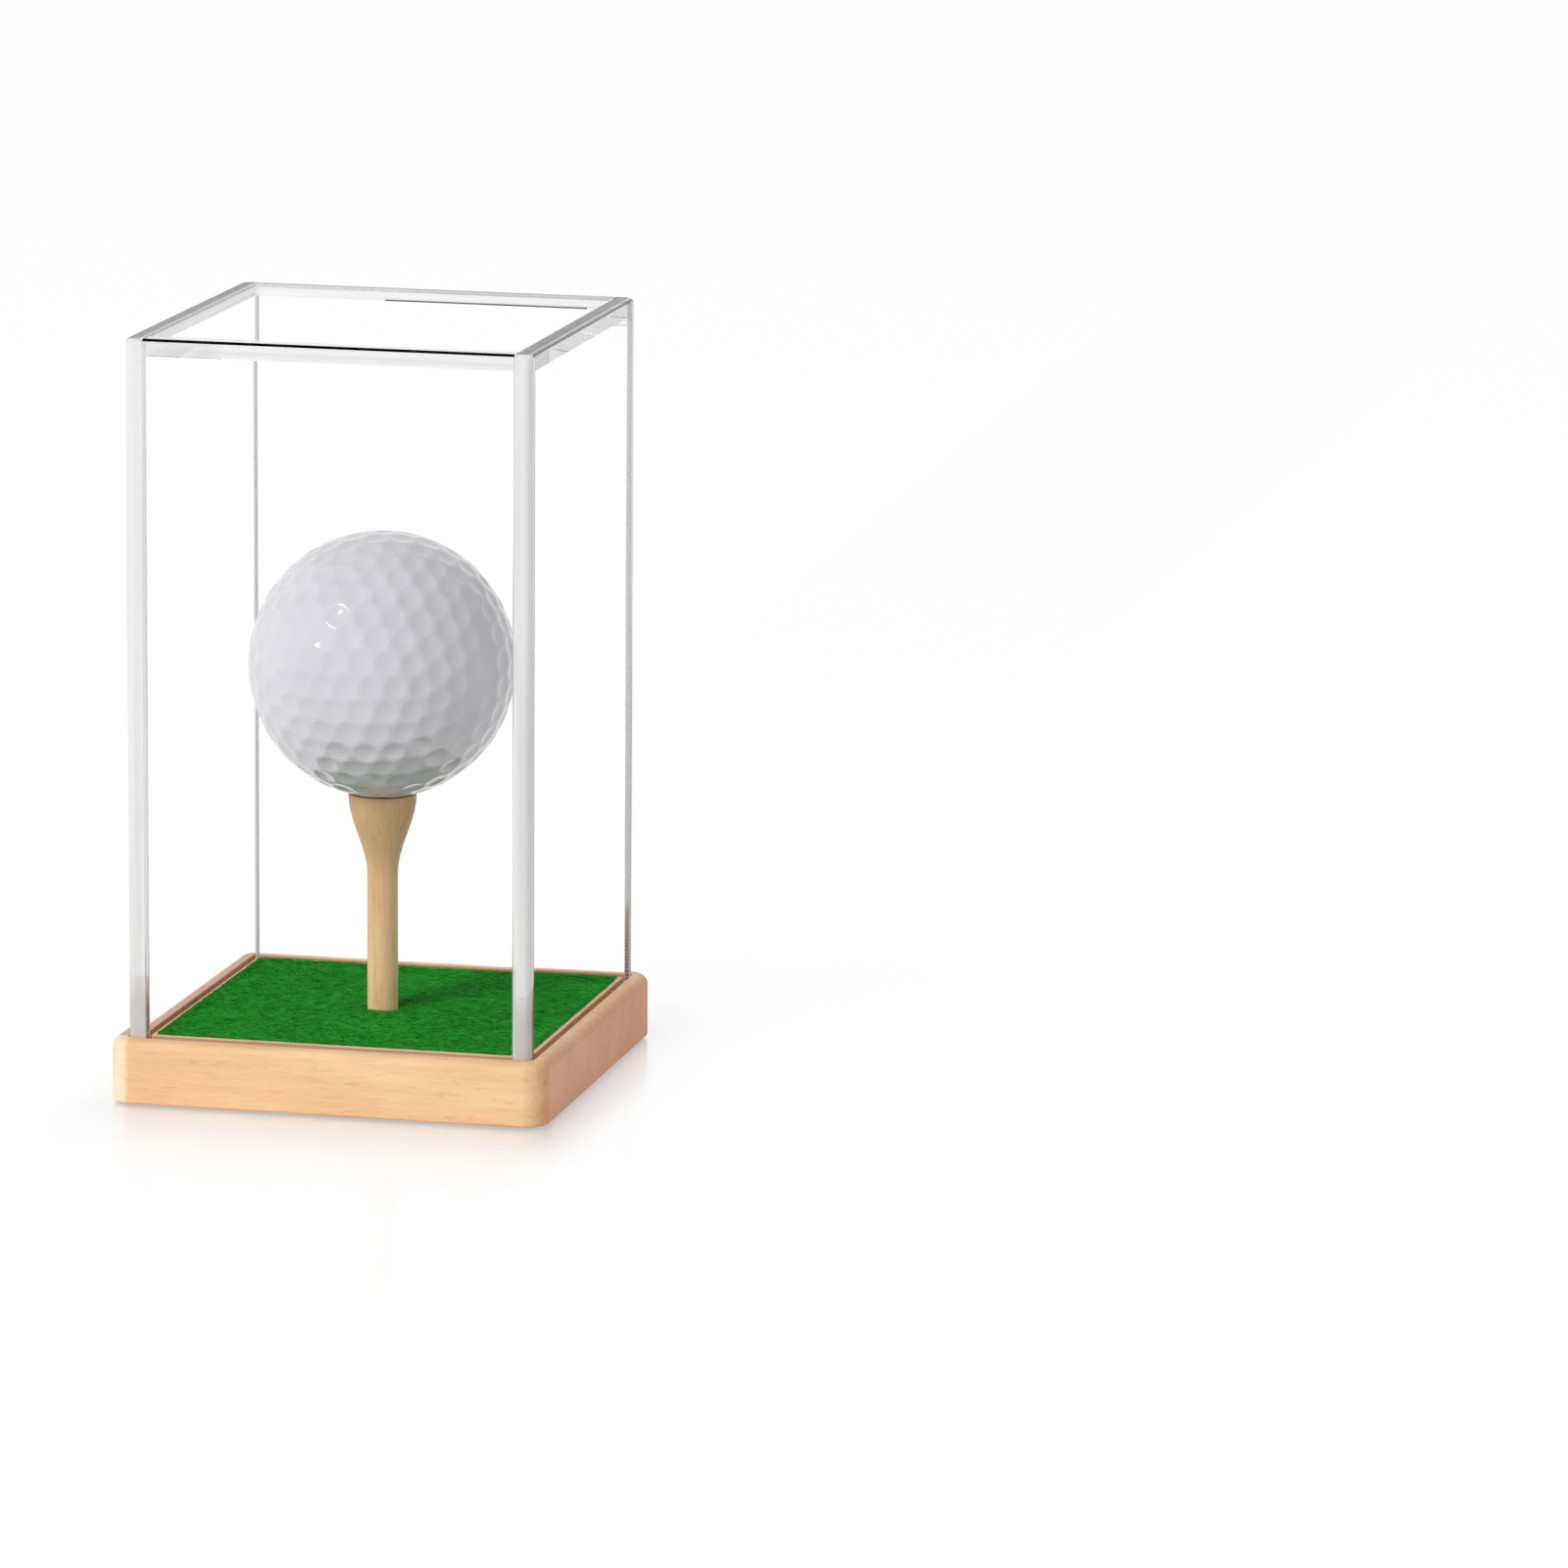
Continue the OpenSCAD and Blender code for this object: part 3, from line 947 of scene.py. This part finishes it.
small = SHEET_BREAK
add_sheet("right", (COVER_EDGE, small, small, COVER_EDGE), (0, 1, 1, 1), ((1, 0, 0), (0, 0, 0)))
add_sheet("left", (small, COVER_EDGE, COVER_EDGE, small), (1, 1, 0, 1), ((0, 0, 0), (1, 0, 0)))
add_sheet("front", (small,) * 4, (0, 1, 0, 0), ((1, 0, 0), (1, 1, 0)))
add_sheet("back", (small,) * 4, (0, 0, 0, 1), ((1, 1, 0), (1, 0, 0)))
add_sheet("top", (small,) * 4, (0, 0, 0, 0), ((1, 1, 0), (1, 1, 0)))


# Floor, backdrop and lamps

# Directions from the ball to the lamps, their distance and sizes in metres, and their power in watts
KEY_FROM = Vector((-0.47, -0.76, 0.45))
GLINT_FROM = Vector((-0.50, -0.60, 0.625))
LAMP_AWAY = 1.1
KEY_SIZE = 0.45
KEY_POWER = 6.4
GLINT_SIZE = 0.14
GLINT_POWER = 0.5
# The room's light on surfaces. The picture itself shows the room at full white
SKY = 0.5
FLOOR_HALF = 3.0
FLOOR_WHITE = 0.85
FLOOR_ROUGH = 0.5
# The share of real light on the floor in the picture. The rest is an even white glow
FLOOR_LIT = 0.15
FLOOR_GLOW = 1.09
MIRROR_ROUGH = 0.15
# The floor's mirroring: shares at places from the base's side to MIRROR_FADE away from it
MIRROR_FADE = 60 * MM
MIRROR_SHARE = ((0, 0.5), (0.12, 0.36), (0.4, 0.15), (1, 0.05))
# To the left and right of the base it falls to this share of that, over this distance
BESIDE_SHARE = 0.3
BESIDE_FADE = 8 * MM


def white_to_camera(nodes, links):
    """1 for rays whose end the picture shows: straight, mirrored, or through the clear sheets."""
    path = nodes.new("ShaderNodeLightPath")
    total = path.outputs["Is Camera Ray"]
    for kind in ("Is Glossy Ray", "Is Transmission Ray"):
        total = maths(nodes, links, "MAXIMUM", total, path.outputs[kind])
    return total


def make_world():
    world = bpy.data.worlds.new("studio")
    bpy.context.scene.world = world
    world.use_nodes = True
    nodes, links = world.node_tree.nodes, world.node_tree.links
    background = nodes["Background"]
    background.inputs["Color"].default_value = (*WHITE, 1)
    level = value_range(nodes, links, white_to_camera(nodes, links), SKY, 1)
    links.new(level, background.inputs["Strength"])


def mirror_share(nodes, links):
    """How much the floor mirrors at a place: less and less away from the base, and least beside it."""
    place = place_in_object(nodes, links)
    across, along = (maths(nodes, links, "ABSOLUTE", place[axis]) for axis in (0, 1))
    far = maths(nodes, links, "MAXIMUM", across, along)
    away = value_range(nodes, links, far, 0, 1, base_half, base_half + MIRROR_FADE)
    sheen = ramp(nodes, links, away, [(at, (share,) * 3) for at, share in MIRROR_SHARE])
    beside = value_range(nodes, links, across, 1, BESIDE_SHARE, base_half, base_half + BESIDE_FADE)
    return maths(nodes, links, "MULTIPLY", sheen, beside)


def floor_material():
    """A satin white board: it mirrors the base faintly, mostly close by, and keeps a light shadow."""
    material, nodes, links, shader = new_material("floor_white")
    shader.inputs["Base Color"].default_value = (*(FLOOR_WHITE,) * 3, 1)
    shader.inputs["Roughness"].default_value = FLOOR_ROUGH
    shader.inputs["Specular IOR Level"].default_value = 0
    glow = nodes.new("ShaderNodeEmission")
    glow.inputs["Strength"].default_value = FLOOR_GLOW
    mirror = nodes.new("ShaderNodeBsdfGlossy")
    mirror.distribution = "MULTI_GGX"
    mirror.inputs["Roughness"].default_value = MIRROR_ROUGH
    lit = nodes.new("ShaderNodeMixShader")
    lit.inputs["Fac"].default_value = 1 - FLOOR_LIT
    links.new(shader.outputs["BSDF"], lit.inputs[1])
    links.new(glow.outputs["Emission"], lit.inputs[2])
    share = mirror_share(nodes, links)
    board = mix_shaders(nodes, links, share, lit.outputs["Shader"], mirror.outputs["BSDF"])
    seen = white_to_camera(nodes, links)
    shown = mix_shaders(nodes, links, seen, shader.outputs["BSDF"], board)
    links.new(shown, nodes["Material Output"].inputs["Surface"])
    return material


def make_floor():
    mesh = bpy.data.meshes.new("floor")
    half = FLOOR_HALF
    corners = [(-half, -half, 0), (half, -half, 0), (half, half, 0), (-half, half, 0)]
    mesh.from_pydata(corners, [], [(0, 1, 2, 3)])
    mesh.materials.append(floor_material())
    floor = bpy.data.objects.new("floor", mesh)
    bpy.context.scene.collection.objects.link(floor)


def make_lamp(name, direction, away, size, power, aim):
    lamp = bpy.data.lights.new(name, "AREA")
    lamp.shape = "SQUARE"
    lamp.size = size
    lamp.energy = power
    obj = bpy.data.objects.new(name, lamp)
    bpy.context.scene.collection.objects.link(obj)
    obj.location = aim + direction.normalized() * away
    obj.rotation_euler = direction.to_track_quat("Z", "Y").to_euler()
    return obj


make_world()
make_floor()
key = make_lamp("key", KEY_FROM, LAMP_AWAY, KEY_SIZE, KEY_POWER, ball_centre)
key.visible_glossy = False
key.visible_transmission = False
make_lamp("glint", GLINT_FROM, LAMP_AWAY, GLINT_SIZE, GLINT_POWER, ball_centre)


# The camera, fitted to the photograph's corners of the cover and the base

CAMERA_PLACE = Vector((0.3735, -1.3457, 0.3254))
CAMERA_YAW = math.radians(12.900)
CAMERA_PITCH = math.radians(11.286)
CAMERA_ROLL = math.radians(0.457)
LENS_MM = 205.13
SENSOR_MM = 36
CLIP_START = 10 * MM
# Light that enters a sheet's end is mirrored many times between its faces
ALL_BOUNCES = 40
CLEAR_BOUNCES = 32


def make_camera():
    lens = bpy.data.cameras.new("camera")
    lens.lens = LENS_MM
    lens.sensor_width = SENSOR_MM
    lens.clip_start = CLIP_START
    camera = bpy.data.objects.new("camera", lens)
    bpy.context.scene.collection.objects.link(camera)
    turn = Matrix.Rotation(CAMERA_YAW, 4, "Z") @ Matrix.Rotation(math.pi / 2 - CAMERA_PITCH, 4, "X")
    camera.matrix_world = Matrix.Translation(CAMERA_PLACE) @ turn @ Matrix.Rotation(CAMERA_ROLL, 4, "Z")
    bpy.context.scene.camera = camera


make_camera()
bpy.context.scene.view_settings.view_transform = "Standard"
cycles = bpy.context.scene.cycles
cycles.max_bounces = ALL_BOUNCES
cycles.glossy_bounces = CLEAR_BOUNCES
cycles.transmission_bounces = CLEAR_BOUNCES
cycles.transparent_max_bounces = CLEAR_BOUNCES
